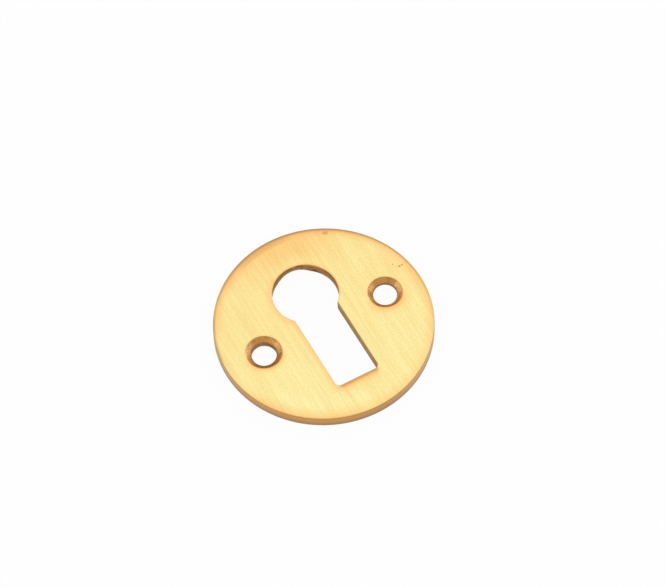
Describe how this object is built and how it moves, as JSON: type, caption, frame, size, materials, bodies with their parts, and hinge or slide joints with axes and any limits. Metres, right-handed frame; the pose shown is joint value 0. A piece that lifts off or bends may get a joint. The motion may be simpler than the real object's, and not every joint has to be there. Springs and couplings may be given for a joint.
{
  "type": "keyhole escutcheon",
  "caption": "Round flat brass plate with an open keyhole through it and a countersunk screw hole on either side.",
  "frame": {"origin": "centre of the back, in the plane that lies against the drawer or door front", "axes": "+Z out of the face, away from the woodwork; +Y up the keyhole, from its slot towards its round; +X towards the right-hand screw hole, seen from the face"},
  "size_m": [0.032, 0.032, 0.002],
  "materials": {
    "brass": "satin, linished along the length of the keyhole, unlacquered look"
  },
  "bodies": {
    "root": {"escutcheon_plate": "brass"}
  },
  "joints": []
}
